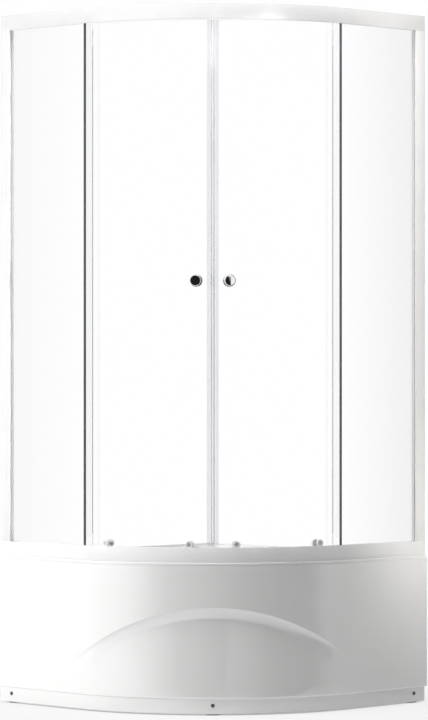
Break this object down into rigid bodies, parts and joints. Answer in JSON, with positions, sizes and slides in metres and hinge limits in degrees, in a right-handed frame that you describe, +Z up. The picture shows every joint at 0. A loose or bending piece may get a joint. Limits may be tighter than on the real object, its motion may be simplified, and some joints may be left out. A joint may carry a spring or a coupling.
{
  "type": "corner shower enclosure",
  "caption": "Corner shower enclosure: deep white quadrant tray with a bowed apron, flat fixed glass and curved sliding glass doors on rollers between white rails.",
  "frame": {"origin": "on the floor, under the middle of the square footprint", "axes": "+Z up; the back wall is at +Y, the left wall at -X, and the bowed front faces +X and -Y"},
  "size_m": [0.9, 0.9, 2.036],
  "materials": {
    "tray_acrylic": "glossy white moulded acrylic",
    "white_rail": "white coated aluminium section",
    "clear_glass": "clear toughened glass",
    "clear_seal": "clear soft extrusion",
    "dark_magnet": "magnetic strip",
    "dark_trim": "dark extruded edge channel",
    "chrome": "polished plating",
    "steel": "zinc plated",
    "white_plastic": "moulded",
    "wheel_plastic": "moulded",
    "black_plastic": "moulded",
    "frame_steel": "grey coated square tube",
    "soft_rubber": "soft light grey"
  },
  "bodies": {
    "enclosure": {"apron": "tray_acrylic", "apron_brackets": "frame_steel", "apron_screws": "steel", "door_stops": "soft_rubber", "drain_flange": "chrome", "drain_gasket": "soft_rubber", "drain_trap": "white_plastic", "foot_nuts": "steel", "foot_pads": "black_plastic", "foot_studs": "steel", "frame_beams": "frame_steel", "frame_uprights": "frame_steel", "left_edge_fin": "clear_seal", "left_edge_trim": "dark_trim", "left_fixed_pane": "clear_glass", "left_pane_gasket": "soft_rubber", "left_post": "white_rail", "left_wall_profile": "white_rail", "lower_rail": "white_rail", "post_screws": "steel", "profile_screws": "steel", "right_edge_fin": "clear_seal", "right_edge_trim": "dark_trim", "right_fixed_pane": "clear_glass", "right_pane_gasket": "soft_rubber", "right_post": "white_rail", "right_wall_profile": "white_rail", "threshold_strip": "white_plastic", "tray": "tray_acrylic", "upper_rail": "white_rail", "waste_pipe": "white_plastic"},
    "right_door": {"right_door_pane": "clear_glass", "right_inner_knob": "chrome", "right_knob_stud": "steel", "right_knob_washers": "soft_rubber", "right_magnet": "dark_magnet", "right_magnet_seal": "clear_seal", "right_outer_knob": "chrome", "right_roller_axles": "steel", "right_roller_caps": "white_plastic", "right_trailing_seal": "clear_seal"},
    "right_upper_front_wheel": {"right_upper_front_wheel": "wheel_plastic"},
    "right_upper_rear_wheel": {"right_upper_rear_wheel": "wheel_plastic"},
    "right_lower_front_wheel": {"right_lower_front_wheel": "wheel_plastic"},
    "right_lower_rear_wheel": {"right_lower_rear_wheel": "wheel_plastic"},
    "left_door": {"left_door_pane": "clear_glass", "left_inner_knob": "chrome", "left_knob_stud": "steel", "left_knob_washers": "soft_rubber", "left_magnet": "dark_magnet", "left_magnet_seal": "clear_seal", "left_outer_knob": "chrome", "left_roller_axles": "steel", "left_roller_caps": "white_plastic", "left_trailing_seal": "clear_seal"},
    "left_upper_front_wheel": {"left_upper_front_wheel": "wheel_plastic"},
    "left_upper_rear_wheel": {"left_upper_rear_wheel": "wheel_plastic"},
    "left_lower_front_wheel": {"left_lower_front_wheel": "wheel_plastic"},
    "left_lower_rear_wheel": {"left_lower_rear_wheel": "wheel_plastic"},
    "drain_cover": {"drain_cover": "chrome"}
  },
  "joints": [
    {"name": "right_door_travel", "type": "hinge", "parent": "enclosure", "child": "right_door", "pos_m": [-0.19404, 0.13323, 1.2387], "axis": [0, 0, 1], "range_deg": [0, 19.4]},
    {"name": "right_upper_front_wheel_spin", "type": "hinge", "parent": "right_door", "child": "right_upper_front_wheel", "pos_m": [0.31492, -0.21838, 2.0192], "axis": [-0.7934, 0.6088, 0], "continuous": true},
    {"name": "right_upper_rear_wheel_spin", "type": "hinge", "parent": "right_door", "child": "right_upper_rear_wheel", "pos_m": [0.41698, 0.02089, 2.0192], "axis": [-0.9885, 0.1513, 0], "continuous": true},
    {"name": "right_lower_front_wheel_spin", "type": "hinge", "parent": "right_door", "child": "right_lower_front_wheel", "pos_m": [0.31492, -0.21838, 0.4862], "axis": [-0.7934, 0.6088, 0], "continuous": true},
    {"name": "right_lower_rear_wheel_spin", "type": "hinge", "parent": "right_door", "child": "right_lower_rear_wheel", "pos_m": [0.41698, 0.02089, 0.4862], "axis": [-0.9885, 0.1513, 0], "continuous": true},
    {"name": "left_door_travel", "type": "hinge", "parent": "enclosure", "child": "left_door", "pos_m": [-0.13323, 0.19404, 1.2387], "axis": [0, 0, -1], "range_deg": [0, 19.4]},
    {"name": "left_upper_front_wheel_spin", "type": "hinge", "parent": "left_door", "child": "left_upper_front_wheel", "pos_m": [0.21838, -0.31492, 2.0192], "axis": [0.6088, -0.7934, 0], "continuous": true},
    {"name": "left_upper_rear_wheel_spin", "type": "hinge", "parent": "left_door", "child": "left_upper_rear_wheel", "pos_m": [-0.02089, -0.41698, 2.0192], "axis": [0.1513, -0.9885, 0], "continuous": true},
    {"name": "left_lower_front_wheel_spin", "type": "hinge", "parent": "left_door", "child": "left_lower_front_wheel", "pos_m": [0.21838, -0.31492, 0.4862], "axis": [0.6088, -0.7934, 0], "continuous": true},
    {"name": "left_lower_rear_wheel_spin", "type": "hinge", "parent": "left_door", "child": "left_lower_rear_wheel", "pos_m": [-0.02089, -0.41698, 0.4862], "axis": [0.1513, -0.9885, 0], "continuous": true},
    {"name": "drain_cover_lift", "type": "slide", "parent": "enclosure", "child": "drain_cover", "axis": [0, 0, 1], "range_m": [0, 0.03]}
  ],
  "couplings": [
    {"joint": "right_upper_front_wheel_spin", "follows": "right_door_travel", "ratio": 56.167},
    {"joint": "right_upper_rear_wheel_spin", "follows": "right_door_travel", "ratio": 56.454},
    {"joint": "right_lower_front_wheel_spin", "follows": "right_door_travel", "ratio": 56.167},
    {"joint": "right_lower_rear_wheel_spin", "follows": "right_door_travel", "ratio": 56.454},
    {"joint": "left_upper_front_wheel_spin", "follows": "left_door_travel", "ratio": 56.167},
    {"joint": "left_upper_rear_wheel_spin", "follows": "left_door_travel", "ratio": 56.454},
    {"joint": "left_lower_front_wheel_spin", "follows": "left_door_travel", "ratio": 56.167},
    {"joint": "left_lower_rear_wheel_spin", "follows": "left_door_travel", "ratio": 56.454}
  ]
}
